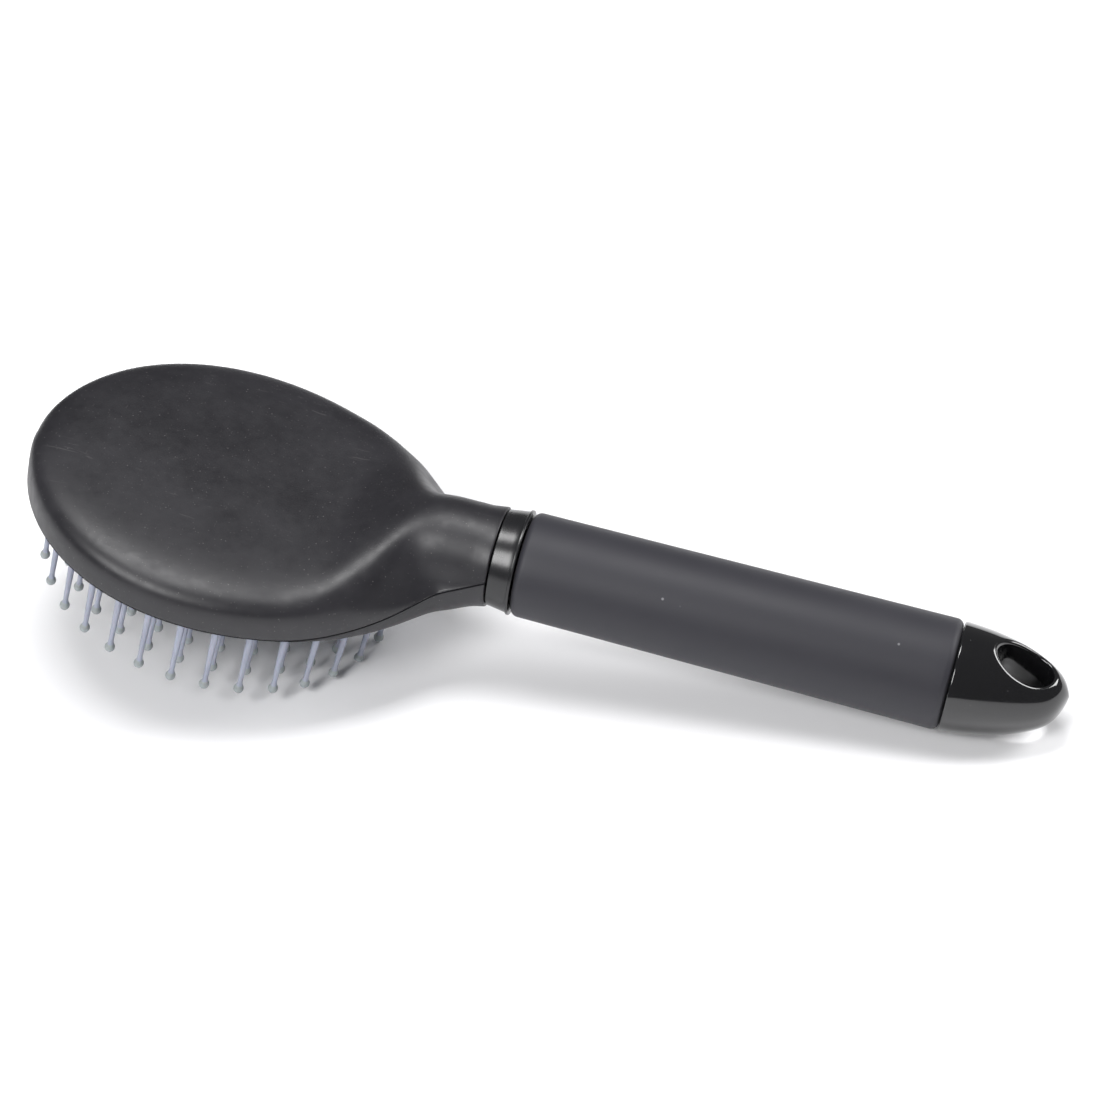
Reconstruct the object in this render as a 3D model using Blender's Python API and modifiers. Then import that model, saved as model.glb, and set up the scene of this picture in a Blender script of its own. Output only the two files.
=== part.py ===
"""Mane and tail pin brush: an oval two-shell head with an air-cushion pad of ball-tipped pins,
a collar, a rubber grip sleeve on a tubular core, and an end cap with a hanging hole.

Metres, +Z up. The brush lies at rest: on the pins nearest the neck and on the underside of the cap.
"""
import math

import bmesh
import bpy
import numpy as np
from mathutils import Matrix, Vector

MM = 0.001

# Handle, measured along its axis from the front edge of the grip sleeve
GRIP_LENGTH = 101.7 * MM
GRIP_FRONT_RADIUS = 12.4 * MM
GRIP_BACK_RADIUS = 13.05 * MM
GRIP_WALL = 2.1 * MM
GRIP_ROUND = 1.6 * MM
COLLAR_LENGTH = 5.9 * MM
COLLAR_SMALL_RADIUS = 11.2 * MM
COLLAR_LARGE_RADIUS = 12.1 * MM
COLLAR_LIP_RADIUS = 12.5 * MM
COLLAR_LIP_WIDTH = 0.7 * MM
TANG_RADIUS = 8.0 * MM
TANG_LENGTH = 20.0 * MM
CORE_WALL = 2.2 * MM
SPIGOT_RADIUS = 7.6 * MM
SPIGOT_LENGTH = 6.0 * MM

# End cap
CAP_LENGTH = 26.85 * MM
CAP_RADIUS = 12.85 * MM
CAP_TOP_DROP = 7.24 * MM
CAP_TOP_POWER = 2.52
CAP_WIDTH_POWERS = (1.5, 0.434)
CAP_LOW_POWERS = (1.65, 0.5)
CAP_TIP_POWER = 24
CAP_HOLE_LENGTH = 13.6 * MM
CAP_HOLE_WIDTH = 10.3 * MM
CAP_HOLE_CENTRE = 15.5 * MM

# Head, in its own frame: origin at the middle of the rim, X towards the neck, Z out of the back
HEAD_HALF_LENGTH = 52.4 * MM
HEAD_HALF_WIDTH = 40.0 * MM
HEAD_EGG = 0.11
HEAD_OUTLINE_POWER = 1.1
HEAD_CROWN = 10.8 * MM
HEAD_SQUARENESS = 5.2
HEAD_CENTRE_X = -67.2 * MM
HEAD_CENTRE_Z = -7.5 * MM
HEAD_TILT = math.radians(4.8)
SHELL_WALL = 1.5 * MM
FRAME_DEPTH = 2.4 * MM
FRAME_FACE_CUT = 0.15 * MM
NECK_BLEND = 7.0

# How the dome of the head turns into the neck, and where the parting line climbs
SEAM_RISE_START = 18 * MM
SEAM_RISE_LENGTH = 43.2 * MM
SEAM_RISE_POWER = 1.8
SEAM_OVER_AXIS = 3.0 * MM
DOME_NECK_POWER = 2.4
FLARE_HEIGHT = 2.5 * MM
TURN_AT_RIDGE = 37.5 * MM
TURN_AT_RIM = 49.0 * MM
TURN_HALF_LENGTH = 8.5 * MM

# Pad
PAD_CENTRE_X = -3.7 * MM
PAD_HALF_LENGTH = 45.8 * MM
PAD_HALF_WIDTH = 36.3 * MM
PAD_FLANGE_OVERLAP = 0.8 * MM
PAD_FLANGE_THICKNESS = 1.3 * MM
PAD_THICKNESS = 1.4 * MM
PAD_EDGE_DROP = 1.4 * MM
PAD_BULGE = 1.8 * MM
PAD_SIDES = 44
PAD_EGG = 0.02
PAD_OUTLINE_POWER = 1.02

# Pins: concentric oval rings, (half length, half width, count, pins in each strip)
PIN_RINGS = [
    (42.7 * MM, 33.9 * MM, 30, 4),
    (37.2 * MM, 28.4 * MM, 26, 4),
    (31.4 * MM, 22.4 * MM, 22, 4),
    (25.2 * MM, 16.6 * MM, 16, 4),
    (18.8 * MM, 10.9 * MM, 12, 4),
    (12.0 * MM, 5.3 * MM, 8, 4),
]
PIN_CENTRE_X = -2.8 * MM
PIN_TIP_Z = -22.6 * MM
PIN_BASE_RADIUS = 0.95 * MM
PIN_NECK_RADIUS = 0.62 * MM
PIN_BALL_RADIUS = 1.2 * MM
PIN_SIDES = 5
PIN_LEAN = 0.5 * MM
PIN_NECK_LEAN = 1.4 * MM
PIN_SPLAY = 2.7 * MM
WEB_HALF_WIDTH = 1.3 * MM
WEB_THICKNESS = 1.2 * MM

GAP = 0.3 * MM
OVERSHOOT = 2.0 * MM
TURN_STEPS = 32

# The flat under the butt that the brush rests on: its middle, from the front of the cap, and its depth
REST_ALONG_CAP = 4.4 * MM
REST_CUT = 0.474 * MM


# ---------------------------------------------------------------- scene and helpers

def clear_scene():
    for item in list(bpy.data.objects):
        bpy.data.objects.remove(item, do_unlink=True)


def collection(name):
    group = bpy.data.collections.new(name)
    bpy.context.scene.collection.children.link(group)
    return group


def material(name, colour, roughness, coat=0.0):
    made = bpy.data.materials.new(name)
    made.use_nodes = True
    shader = made.node_tree.nodes["Principled BSDF"]
    shader.inputs["Base Color"].default_value = (*colour, 1.0)
    shader.inputs["Roughness"].default_value = roughness
    shader.inputs["Metallic"].default_value = 0.0
    shader.inputs["Coat Weight"].default_value = coat
    made.diffuse_color = (*colour, 1.0)
    return made


def empty(name, parent, location, tilt):
    """An empty whose X axis is turned down by tilt about Y."""
    made = bpy.data.objects.new(name, None)
    made.location = location
    made.rotation_euler = (0.0, tilt, 0.0)
    made.parent = parent
    PARTS.objects.link(made)
    return made


def mesh_object(name, bm, look, parent, group=None):
    bmesh.ops.recalc_face_normals(bm, faces=bm.faces)
    mesh = bpy.data.meshes.new(name)
    bm.to_mesh(mesh)
    bm.free()
    mesh.shade_smooth()
    mesh.set_sharp_from_angle(angle=math.radians(35))
    made = bpy.data.objects.new(name, mesh)
    made.parent = parent
    if look:
        mesh.materials.append(look)
    (group or PARTS).objects.link(made)
    if group is CUTTERS:
        made.hide_render = True
        made.display_type = "WIRE"
    return made


def boolean(target, tool, operation):
    step = target.modifiers.new(f"{operation.lower()} {tool.name}", "BOOLEAN")
    step.operation = operation
    step.solver = "EXACT"
    step.object = tool


def loft(bm, rings):
    """A closed solid through rings of equal point counts, with flat ends."""
    loops = [[bm.verts.new(point) for point in ring] for ring in rings]
    count = len(loops[0])
    for near, far in zip(loops, loops[1:]):
        for i in range(count):
            j = (i + 1) % count
            bm.faces.new((near[i], near[j], far[j], far[i]))
    bm.faces.new(loops[0])
    bm.faces.new(reversed(loops[-1]))
    return bm


def turned(name, profile, look, parent, steps=TURN_STEPS, group=None):
    """A ring or tube turned about the handle axis from a closed profile of (radius, x)."""
    bm = bmesh.new()
    points = [bm.verts.new((radius, 0.0, x)) for radius, x in profile]
    for i, point in enumerate(points):
        bm.edges.new((point, points[(i + 1) % len(points)]))
    mesh = bpy.data.meshes.new(name)
    bm.to_mesh(mesh)
    bm.free()
    made = bpy.data.objects.new(name, mesh)
    made.parent = parent
    made.rotation_euler = (0.0, math.pi / 2, 0.0)
    if look:
        mesh.materials.append(look)
    (group or PARTS).objects.link(made)
    screw = made.modifiers.new("turn", "SCREW")
    screw.axis = "Z"
    screw.steps = screw.render_steps = steps
    screw.use_merge_vertices = True
    screw.merge_threshold = 0.01 * MM
    if group is CUTTERS:
        made.hide_render = True
        made.display_type = "WIRE"
    return made


def smoothstep(start, end, value):
    t = min(1.0, max(0.0, (value - start) / (end - start)))
    return t * t * (3 - 2 * t)


def smootherstep(start, end, value):
    t = min(1.0, max(0.0, (value - start) / (end - start)))
    return t ** 3 * (10 + t * (6 * t - 15))


def mix(a, b, t):
    return a + (b - a) * t


# ---------------------------------------------------------------- head form

GRIP_IN_HEAD = Matrix.Rotation(-HEAD_TILT, 3, "Y") @ Vector((-HEAD_CENTRE_X, 0.0, -HEAD_CENTRE_Z))
AXIS_RISE = math.tan(HEAD_TILT)
NECK_END_X = GRIP_IN_HEAD.x - (COLLAR_LENGTH + GAP) * math.cos(HEAD_TILT)


def axis_height(x):
    """Height of the handle axis over the rim plane."""
    return GRIP_IN_HEAD.z + (x - GRIP_IN_HEAD.x) * AXIS_RISE


def egg(x, half_length, half_width, inset=0.0):
    """Half width of the egg-shaped outline at x."""
    along = x / (half_length - inset)
    if abs(along) >= 1:
        return 0.0
    across = math.sqrt(1 - along * along) ** HEAD_OUTLINE_POWER
    return (half_width - inset) * across * (1 - HEAD_EGG * along)


def seam_height(x):
    """The parting line runs along the rim, then climbs the side of the neck past the handle axis."""
    along = max(x - SEAM_RISE_START, 0.0) / SEAM_RISE_LENGTH
    return (axis_height(x) + SEAM_OVER_AXIS) * along ** SEAM_RISE_POWER


def neck_radius(x):
    return mix(15.0 * MM, 11.2 * MM, smoothstep(10 * MM, 42 * MM, x))


def back_top(x):
    """Height of the back along its middle: a level crown, then the ridge of the neck up to the collar."""
    if x < 0:
        along = min(-x / HEAD_HALF_LENGTH, 1.0)
        return HEAD_CROWN * (1 - along ** HEAD_SQUARENESS) ** (1 / HEAD_SQUARENESS)
    ridge = mix(4.0 * MM, axis_height(x) + COLLAR_SMALL_RADIUS, smoothstep(2 * MM, 49 * MM, x))
    return blend(HEAD_CROWN * (1 - smoothstep(20 * MM, 50 * MM, x)), ridge)


def rim_width(x, inset):
    """Half width at the parting line: the egg outline flares into the neck."""
    wide = egg(x, HEAD_HALF_LENGTH, HEAD_HALF_WIDTH, inset)
    if x < 20 * MM:
        return wide
    return blend(wide, mix(16.5 * MM, 12.1 * MM, smoothstep(34 * MM, 60 * MM, x)) - inset)


def under_bottom(x):
    return mix(-FRAME_DEPTH, axis_height(x) - 12.1 * MM, smoothstep(50 * MM, 60 * MM, x))


def blend(a, b):
    """Smooth union of two radii."""
    return (a ** NECK_BLEND + b ** NECK_BLEND) ** (1 / NECK_BLEND)


def back_width(x, share, inset, top):
    """Half width of the back shell at a share of its height: the head's dome turns into the round neck,
    first at the top and last at the parting line, where it flares out to the rim."""
    rim = rim_width(x, inset)
    power = mix(HEAD_SQUARENESS, DOME_NECK_POWER, smoothstep(18 * MM, 34 * MM, x))
    dome = rim * (1 - share ** power) ** (1 / power)
    radius = neck_radius(x) - inset
    spring = max(top - radius, 0.0)
    over = max(share * top - spring, 0.0) / (top - spring)
    neck = radius * math.sqrt(max(1 - over * over, 0.0))
    turn = mix(TURN_AT_RIDGE, TURN_AT_RIM, (1 - share) ** 2.5)
    to_neck = smootherstep(turn - TURN_HALF_LENGTH, turn + TURN_HALF_LENGTH, x)
    flare = (rim - radius) * to_neck * (1 - share) * math.exp(-share * top / FLARE_HEIGHT)
    return mix(dome, neck, to_neck) + flare


def upper_line(x, inset):
    """Half section of the back shell as (y, height over the parting line), from +Y to -Y."""
    top = back_top(x) - inset - seam_height(x)
    crown = [1 - 0.1 * (1 - t) ** 4 for t in np.linspace(0.0, 1.0, 60)[1:]]
    shares = list(np.linspace(0.0, 0.9, 150)) + crown
    half = [(back_width(x, share, inset, top), share * top) for share in shares]
    return half + [(-y, z) for y, z in reversed(half[:-1])]


def lower_line(x, inset):
    """Half section of the front frame as (y, depth under the parting line), from +Y to -Y."""
    power = mix(4.0, 2.1, smoothstep(36 * MM, 58 * MM, x))
    width = rim_width(x, inset)
    depth = seam_height(x) - under_bottom(x) - inset
    turns = np.linspace(0.0, math.pi / 2, 90)
    half = [(width * math.cos(t) ** (2 / power), depth * math.sin(t) ** (2 / power)) for t in turns]
    return half + [(-y, z) for y, z in reversed(half[:-1])]


def resample(line, count):
    """The same line with count points, closer together where it bends."""
    line = np.array(line)
    steps = np.diff(line, axis=0)
    span = np.linalg.norm(steps, axis=1)
    heading = np.unwrap(np.arctan2(steps[:, 1], steps[:, 0]))
    bend = np.abs(np.gradient(heading))
    along = np.concatenate([[0.0], np.cumsum(span / span.sum() + bend / bend.sum())])
    at = np.linspace(0.0, along[-1], count)
    return [(float(np.interp(s, along, line[:, 0])), float(np.interp(s, along, line[:, 1]))) for s in at]


def section(x, line, side, base, inset, points):
    """Half section over (side 1) or under (side -1) the parting line, from +Y round to -Y."""
    ring = []
    for y, away in resample(line(x, inset), points):
        z = base + side * away
        lean = AXIS_RISE * smoothstep(30 * MM, NECK_END_X, x) * (z - axis_height(x))
        ring.append((x - lean, y, z))
    return ring


def stations(start, inset, end):
    """Places along the head, closer together at the tip and where the neck begins."""
    front = [-(HEAD_HALF_LENGTH - inset) * math.cos(t) for t in np.linspace(start, math.pi / 2, 9)]
    return front + list(np.linspace(7 * MM, 28 * MM, 4)) + list(np.linspace(31 * MM, end, 12))


TIP_ANGLE = math.radians(7)


def back_shell():
    points = 19
    bm = bmesh.new()
    rings = []
    for x in stations(TIP_ANGLE, 0.0, NECK_END_X):
        rings.append(section(x, upper_line, 1, seam_height(x) + GAP / 2, 0.0, points))
    shell = mesh_object("back_shell", loft(bm, rings), LOOKS["head"], HEAD)
    bm = bmesh.new()
    rings = []
    for x in stations(TIP_ANGLE, SHELL_WALL, NECK_END_X + OVERSHOOT):
        ring = section(x, upper_line, 1, seam_height(x), SHELL_WALL, points)
        first, last = ring[0], ring[-1]
        low = seam_height(x) - OVERSHOOT
        rings.append([(first[0], first[1], low)] + ring + [(last[0], last[1], low)])
    cutter = mesh_object("back_shell_hollow", loft(bm, rings), None, HEAD, CUTTERS)
    boolean(shell, cutter, "DIFFERENCE")
    return shell


def pad_outline(half_length, half_width, count, centre=PAD_CENTRE_X, phase=0.0):
    """Points on an oval, evenly spaced along it, starting a phase of a step from the axis at the neck."""
    fine = np.linspace(0, 2 * math.pi, 721)
    across = np.sign(np.sin(fine)) * np.abs(np.sin(fine)) ** PAD_OUTLINE_POWER
    x = centre + half_length * np.cos(fine)
    y = half_width * across * (1 - PAD_EGG * np.cos(fine))
    length = np.concatenate([[0], np.cumsum(np.hypot(np.diff(x), np.diff(y)))])
    at = length[-1] / count * (np.arange(count) + phase)
    return [(float(np.interp(s, length, x)), float(np.interp(s, length, y))) for s in at]


def front_frame():
    points = 17
    bm = bmesh.new()
    rings = []
    for x in stations(TIP_ANGLE, 0.0, NECK_END_X):
        rings.append(section(x, lower_line, -1, seam_height(x) - GAP / 2, 0.0, points))
    frame = mesh_object("front_frame", loft(bm, rings), LOOKS["head"], HEAD)
    openings = [("pad_opening", 0.0, -10 * MM), ("flange_seat", PAD_FLANGE_OVERLAP + GAP, -GAP / 2)]
    for name, grow, low in openings:
        bm = bmesh.new()
        opening = pad_outline(PAD_HALF_LENGTH + grow, PAD_HALF_WIDTH + grow, PAD_SIDES)
        loft(bm, [[(x, y, z) for x, y in opening] for z in (low, 24 * MM)])
        boolean(frame, mesh_object(name, bm, None, HEAD, CUTTERS), "DIFFERENCE")
    bore = TANG_RADIUS + 2 * GAP
    profile = [(0.0, OVERSHOOT), (bore, OVERSHOOT), (bore, -TANG_LENGTH - OVERSHOOT)]
    profile.append((0.0, -TANG_LENGTH - OVERSHOOT))
    boolean(frame, turned_rod("tang_socket", profile, BRUSH), "DIFFERENCE")
    bm = bmesh.new()
    bmesh.ops.create_cube(bm, size=HEAD_HALF_LENGTH * 3)
    face = mesh_object("front_plane", bm, None, HEAD, CUTTERS)
    face.location.z = -FRAME_DEPTH + FRAME_FACE_CUT - HEAD_HALF_LENGTH * 1.5
    boolean(frame, face, "DIFFERENCE")
    return frame


def turned_rod(name, profile, parent):
    """A solid cutter turned about the handle axis, from (radius, x) points that start and end on it."""
    bm = bmesh.new()
    rings = []
    for radius, x in profile[1:-1]:
        angles = np.linspace(0, 2 * math.pi, 24, endpoint=False)
        rings.append([(x, radius * math.cos(a), radius * math.sin(a)) for a in angles])
    loft(bm, rings)
    return mesh_object(name, bm, None, parent, CUTTERS)


# ---------------------------------------------------------------- pad and pins

def pad_under(x, y):
    """Height of the outer face of the pad: a low dome."""
    rho = math.hypot((x - PAD_CENTRE_X) / PAD_HALF_LENGTH, y / PAD_HALF_WIDTH)
    return -PAD_EDGE_DROP - PAD_BULGE * (1 - min(rho, 1.0) ** 2)


def cushion_pad():
    count = PAD_SIDES
    inner = GAP + 0.1 * MM
    flange = [(-PAD_FLANGE_OVERLAP, GAP / 2 + PAD_FLANGE_THICKNESS), (-PAD_FLANGE_OVERLAP, GAP / 2)]
    plug = [(inner, GAP / 2), (inner, -PAD_EDGE_DROP)]
    shares = [0.8, 0.55, 0.28]
    inner_shares = [0.28, 0.55, 0.8, 0.985]
    bm = bmesh.new()
    rings = []
    for inset, z in flange + plug:
        outline = pad_outline(PAD_HALF_LENGTH - inset, PAD_HALF_WIDTH - inset, count)
        rings.append([(x, y, z) for x, y in outline])
    rings += [pad_ring(share, 0.0, count) for share in shares]
    under = rings
    top = [pad_ring(share, PAD_THICKNESS, count) for share in inner_shares]
    loops = [[bm.verts.new(point) for point in ring] for ring in under + top]
    for near, far in zip(loops, loops[1:]):
        if near is loops[len(under) - 1]:
            continue
        for i in range(count):
            j = (i + 1) % count
            bm.faces.new((near[i], near[j], far[j], far[i]))
    bm.faces.new(loops[len(under) - 1])
    bm.faces.new(loops[len(under)])
    for i in range(count):
        j = (i + 1) % count
        bm.faces.new((loops[-1][i], loops[-1][j], loops[0][j], loops[0][i]))
    return mesh_object("cushion_pad", bm, LOOKS["pad"], HEAD)


def pad_ring(share, lift, count):
    outline = pad_outline(PAD_HALF_LENGTH * share, PAD_HALF_WIDTH * share, count)
    return [(x, y, pad_under(x, y) + lift) for x, y in outline]


def pin_base(ring, index):
    half_length, half_width, count, _ = PIN_RINGS[ring]
    return pad_outline(half_length, half_width, count, PIN_CENTRE_X, 0.5)[index]


def pin_lean(x, y):
    """How far a tip lies from its base: forward everywhere, more by the neck, and outward."""
    forward = -PIN_LEAN - PIN_NECK_LEAN * smoothstep(18 * MM, 40 * MM, x)
    return forward, PIN_SPLAY * y / PAD_HALF_WIDTH


def pin_rings(x, y, top):
    """Rings of one pin: shaft, waist and ball, from its base behind the pad to its tip."""
    dx, dy = pin_lean(x, y)
    length = top - PIN_TIP_Z
    stops = [
        (top, PIN_BASE_RADIUS),
        (PIN_TIP_Z + 2.1 * PIN_BALL_RADIUS, PIN_NECK_RADIUS),
        (PIN_TIP_Z + 1.1 * PIN_BALL_RADIUS, PIN_BALL_RADIUS),
        (PIN_TIP_Z, 0.35 * PIN_BALL_RADIUS),
    ]
    rings = []
    for z, radius in stops:
        t = (top - z) / length
        rings.append(pin_circle(x + dx * t, y + dy * t, z, radius))
    return rings


def pin_circle(x, y, z, radius):
    turn = [2 * math.pi * i / PIN_SIDES for i in range(PIN_SIDES)]
    return [(x + radius * math.cos(a), y + radius * math.sin(a), z) for a in turn]


def hole_rings(x, y):
    """A hole through the pad, along the pin that it takes."""
    dx, dy = pin_lean(x, y)
    top = pad_under(x, y) + PAD_THICKNESS + OVERSHOOT
    low = pad_under(x, y) - OVERSHOOT
    reach = (PIN_BASE_RADIUS + GAP) / math.cos(math.pi / PIN_SIDES)
    rings = []
    for z in (top, low):
        t = (web_height(x, y) - z) / (web_height(x, y) - PIN_TIP_Z)
        rings.append(pin_circle(x + dx * t, y + dy * t, z, reach))
    return rings


def web_height(x, y):
    """Mid height of the web that joins a strip of pins behind the pad."""
    return pad_under(x, y) + PAD_THICKNESS + GAP + 0.1 * MM + WEB_THICKNESS / 2


def pin_strip(name, bases):
    """Neighbouring pins moulded on one web."""
    bm = bmesh.new()
    level = max(web_height(x, y) for x, y in bases)
    points = [Vector((x, y, 0)) for x, y in bases]
    points.insert(0, points[0] + (points[0] - points[1]).normalized() * WEB_HALF_WIDTH)
    points.append(points[-1] + (points[-1] - points[-2]).normalized() * WEB_HALF_WIDTH)
    rings = []
    for i, point in enumerate(points):
        along = (points[min(i + 1, len(points) - 1)] - points[max(i - 1, 0)]).normalized()
        side = Vector((-along.y, along.x, 0)) * WEB_HALF_WIDTH
        half = Vector((0, 0, WEB_THICKNESS / 2))
        centre = point + Vector((0, 0, level))
        rings.append([centre + side + half, centre - side + half, centre - side - half, centre + side - half])
    strip = mesh_object(name, loft(bm, rings), LOOKS["pins"], PINS)
    bm = bmesh.new()
    for x, y in bases:
        loft(bm, pin_rings(x, y, level))
    boolean(strip, mesh_object(f"{name}_shafts", bm, None, PINS, CUTTERS), "UNION")
    return strip


def pins(pad):
    holes = bmesh.new()
    for ring, (_, _, count, group) in enumerate(PIN_RINGS):
        strips = math.ceil(count / group)
        for strip in range(strips):
            first = round(strip * count / strips)
            last = round((strip + 1) * count / strips)
            bases = [pin_base(ring, i) for i in range(first, last)]
            pin_strip(f"pin_strip_{ring + 1}{chr(ord('a') + strip)}", bases)
            for x, y in bases:
                loft(holes, hole_rings(x, y))
    boolean(pad, mesh_object("pin_holes", holes, None, HEAD, CUTTERS), "DIFFERENCE")


# ---------------------------------------------------------------- handle

def handle_core():
    outer = GRIP_FRONT_RADIUS - GRIP_WALL - GAP
    inner = TANG_RADIUS - CORE_WALL
    end = GRIP_LENGTH + SPIGOT_LENGTH
    step = GRIP_LENGTH - GAP
    profile = [(inner, -TANG_LENGTH), (inner, end), (SPIGOT_RADIUS, end), (SPIGOT_RADIUS, step)]
    profile += [(outer, step), (outer, GAP), (TANG_RADIUS, GAP), (TANG_RADIUS, -TANG_LENGTH)]
    return turned("handle_core", profile, LOOKS["core"], BRUSH, steps=24)


def collar():
    bore = TANG_RADIUS + GAP
    back = -GAP
    lip = back - COLLAR_LIP_WIDTH
    front = -COLLAR_LENGTH
    profile = [(bore, front), (bore, back), (COLLAR_LIP_RADIUS, back), (COLLAR_LIP_RADIUS, lip)]
    profile += [(COLLAR_LARGE_RADIUS, lip), (COLLAR_SMALL_RADIUS, front)]
    return turned("collar", profile, LOOKS["gloss"], BRUSH)


def rounded(radius, x, round_radius, outward, steps=3):
    """Points of a rounded outer edge at x; outward is +1 at the back end and -1 at the front."""
    points = []
    for i in range(steps + 1):
        angle = math.pi / 2 * i / steps
        r = radius - round_radius * (1 - math.cos(angle))
        points.append((r, x - outward * round_radius * (1 - math.sin(angle))))
    return points


def grip_sleeve():
    bore = GRIP_FRONT_RADIUS - GRIP_WALL
    front = rounded(GRIP_FRONT_RADIUS, 0.0, GRIP_ROUND, -1)
    back = rounded(GRIP_BACK_RADIUS, GRIP_LENGTH, GRIP_ROUND / 2, 1)
    profile = [(bore, 0.0), (bore, GRIP_LENGTH)] + back[::-1] + front
    return turned("grip_sleeve", profile, LOOKS["grip"], BRUSH)


def cap_low(u):
    """Height of the underside of the cap against the handle axis."""
    along, around = CAP_LOW_POWERS
    return -CAP_RADIUS * (1 - (u / CAP_LENGTH) ** along) ** around


def cap_ring(u, count=28):
    """Section of the cap at u along it: round at the grip, closing to a rounded tip above the axis."""
    share = u / CAP_LENGTH
    closing = math.sqrt(1 - share ** CAP_TIP_POWER)
    along, around = CAP_WIDTH_POWERS
    half_width = CAP_RADIUS * (1 - share ** along) ** around * closing
    top = CAP_RADIUS - CAP_TOP_DROP * share ** CAP_TOP_POWER
    low = cap_low(u)
    middle = (top + low) / 2
    half_height = (top - low) / 2 * closing
    x = GRIP_LENGTH + GAP + u
    ring = []
    for i in range(count):
        angle = 2 * math.pi * i / count
        reach = 1 / math.hypot(math.cos(angle) / half_width, math.sin(angle) / half_height)
        ring.append((x, reach * math.cos(angle), middle + reach * math.sin(angle)))
    return ring


def end_cap():
    bm = bmesh.new()
    shares = [0.0, 0.06, 0.2, 0.35, 0.5, 0.64, 0.76, 0.86, 0.93, 0.975, 0.995]
    cap = mesh_object("end_cap", loft(bm, [cap_ring(s * CAP_LENGTH) for s in shares]), LOOKS["gloss"], BRUSH)
    hole = bmesh.new()
    rings = []
    for z in (-20 * MM, 20 * MM):
        ring = []
        for i in range(24):
            angle = 2 * math.pi * i / 24
            x = CAP_HOLE_LENGTH / 2 * math.cos(angle)
            ring.append((x, CAP_HOLE_WIDTH / 2 * math.sin(angle), z))
        rings.append(ring)
    cutter = mesh_object("hanging_hole", loft(hole, rings), None, BRUSH, CUTTERS)
    cutter.location.x = GRIP_LENGTH + GAP + CAP_HOLE_CENTRE
    boolean(cap, cutter, "DIFFERENCE")
    socket = SPIGOT_RADIUS + GAP
    end = GRIP_LENGTH + SPIGOT_LENGTH + GAP
    profile = [(0.0, GRIP_LENGTH - OVERSHOOT), (socket, GRIP_LENGTH - OVERSHOOT), (socket, end), (0.0, end)]
    boolean(cap, turned_rod("spigot_socket", profile, BRUSH), "DIFFERENCE")
    return cap


def rest_point():
    """Middle of the flat under the butt, in the handle's frame."""
    return Vector((GRIP_LENGTH + GAP + REST_ALONG_CAP, 0.0, cap_low(REST_ALONG_CAP) + REST_CUT))


def rest_slope():
    """The handle slopes down by this much, from the pins nearest the neck to the flat under the butt."""
    x, y = pin_base(0, 0)
    tip = Vector((x + pin_lean(x, y)[0], 0.0, PIN_TIP_Z))
    tip = Matrix.Rotation(HEAD_TILT, 3, "Y") @ tip + Vector((HEAD_CENTRE_X, 0.0, HEAD_CENTRE_Z))
    line = rest_point() - tip
    return math.atan2(line.z, line.x)


def rest_flat(*pieces):
    slope = rest_slope()
    bm = bmesh.new()
    bmesh.ops.create_cube(bm, size=GRIP_LENGTH)
    cutter = mesh_object("rest_plane", bm, None, BRUSH, CUTTERS)
    cutter.rotation_euler = (0.0, -slope, 0.0)
    down = Vector((math.sin(slope), 0.0, -math.cos(slope)))
    cutter.location = rest_point() + down * GRIP_LENGTH / 2
    for piece in pieces:
        boolean(piece, cutter, "DIFFERENCE")


# ---------------------------------------------------------------- assembly

def settle(root):
    """Stands the brush on Z = 0 with the middle of its bounding box over the origin."""
    bpy.context.view_layer.update()
    graph = bpy.context.evaluated_depsgraph_get()
    points = []
    for item in PARTS.objects:
        if item.type == "MESH":
            seen = item.evaluated_get(graph)
            points += [seen.matrix_world @ vertex.co for vertex in seen.data.vertices]
    points = np.array(points)
    low, high = points.min(axis=0), points.max(axis=0)
    middle = (low + high) / 2
    root.location = Vector((-middle[0], -middle[1], -low[2]))
    bpy.context.view_layer.update()


clear_scene()
PARTS = collection("pin_brush")
CUTTERS = collection("cutters")
LOOKS = {
    "head": material("matte_black_plastic", (0.030, 0.029, 0.033), 0.5),
    "pad": material("black_rubber", (0.018, 0.018, 0.02), 0.7),
    "pins": material("lavender_grey_plastic", (0.36, 0.38, 0.5), 0.42),
    "grip": material("soft_touch_rubber", (0.05, 0.05, 0.058), 0.6),
    "gloss": material("gloss_black_plastic", (0.012, 0.012, 0.014), 0.12, 1.0),
    "core": material("black_plastic", (0.02, 0.02, 0.022), 0.45),
}
BRUSH = empty("brush_root", None, (0.0, 0.0, 0.0), rest_slope())
HEAD = empty("head_root", BRUSH, (HEAD_CENTRE_X, 0.0, HEAD_CENTRE_Z), HEAD_TILT)
PINS = empty("pin_field_root", HEAD, (0.0, 0.0, 0.0), 0.0)
back_shell()
front_frame()
pins(cushion_pad())
handle_core()
collar()
rest_flat(grip_sleeve(), end_cap())
settle(BRUSH)
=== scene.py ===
import math

import bmesh
import bpy
import numpy as np
from mathutils import Matrix, Vector


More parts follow.
